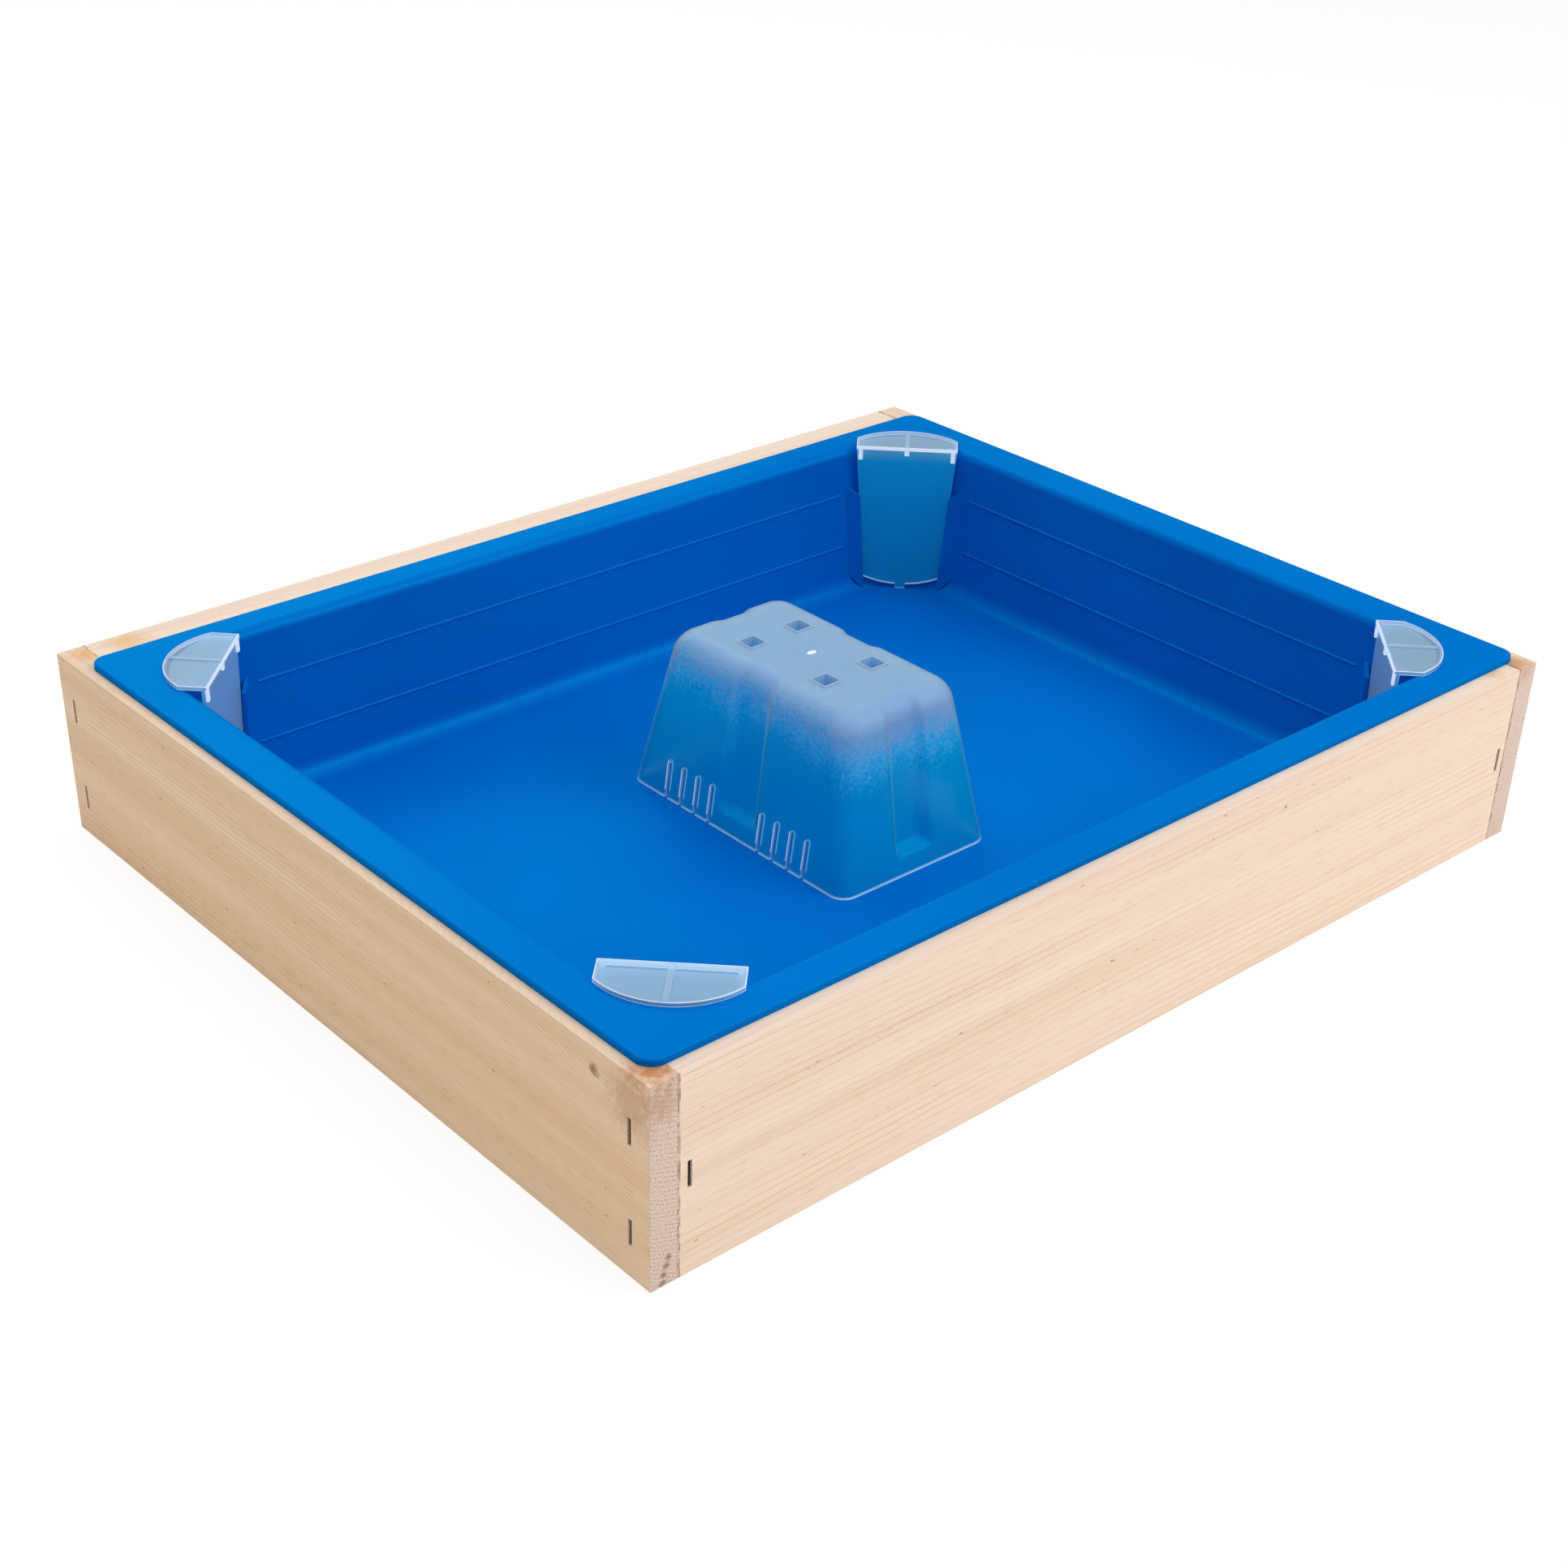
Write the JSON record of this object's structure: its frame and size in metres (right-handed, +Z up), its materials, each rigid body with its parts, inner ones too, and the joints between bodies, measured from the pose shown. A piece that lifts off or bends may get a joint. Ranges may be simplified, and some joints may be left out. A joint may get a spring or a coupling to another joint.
{
  "type": "hive top feeder",
  "caption": "Wooden rim holding a blue moulded syrup tray by its flange, with clear lift-out corner guards for bees and a clear slotted cover standing in the basin.",
  "frame": {"origin": "middle of the rim's underside, on the surface that it stands on", "axes": "+Z up out of the tray, +X along the long boards, +Y from the front board to the back board"},
  "size_m": [0.505, 0.413, 0.0921],
  "materials": {
    "wood": "bare planed pine",
    "blue_plastic": "satin moulded",
    "clear_plastic": "clear moulded",
    "steel": "zinc coated wire"
  },
  "bodies": {
    "rim": {"front_board": "wood", "back_board": "wood", "left_end_board": "wood", "right_end_board": "wood", "staple_front_left_upper": "steel", "staple_front_left_lower": "steel", "staple_front_left_side": "steel", "staple_front_right_upper": "steel", "staple_front_right_lower": "steel", "staple_front_right_side": "steel", "staple_back_left_upper": "steel", "staple_back_left_lower": "steel", "staple_back_left_side": "steel", "staple_back_right_upper": "steel", "staple_back_right_lower": "steel", "staple_back_right_side": "steel"},
    "tray": {"tray": "blue_plastic"},
    "guard_front_left": {"corner_guard_front_left": "clear_plastic"},
    "guard_front_right": {"corner_guard_front_right": "clear_plastic"},
    "guard_back_left": {"corner_guard_back_left": "clear_plastic"},
    "guard_back_right": {"corner_guard_back_right": "clear_plastic"},
    "cover": {"centre_cover": "clear_plastic"}
  },
  "joints": [
    {"name": "tray_lift", "type": "slide", "parent": "rim", "child": "tray", "axis": [0, 0, 1], "range_m": [0, 0.12]},
    {"name": "guard_front_left_lift", "type": "slide", "parent": "tray", "child": "guard_front_left", "axis": [0, 0, 1], "range_m": [0, 0.1]},
    {"name": "guard_front_right_lift", "type": "slide", "parent": "tray", "child": "guard_front_right", "axis": [0, 0, 1], "range_m": [0, 0.1]},
    {"name": "guard_back_left_lift", "type": "slide", "parent": "tray", "child": "guard_back_left", "axis": [0, 0, 1], "range_m": [0, 0.1]},
    {"name": "guard_back_right_lift", "type": "slide", "parent": "tray", "child": "guard_back_right", "axis": [0, 0, 1], "range_m": [0, 0.1]},
    {"name": "cover_lift", "type": "slide", "parent": "tray", "child": "cover", "axis": [0, 0, 1], "range_m": [0, 0.1]}
  ]
}
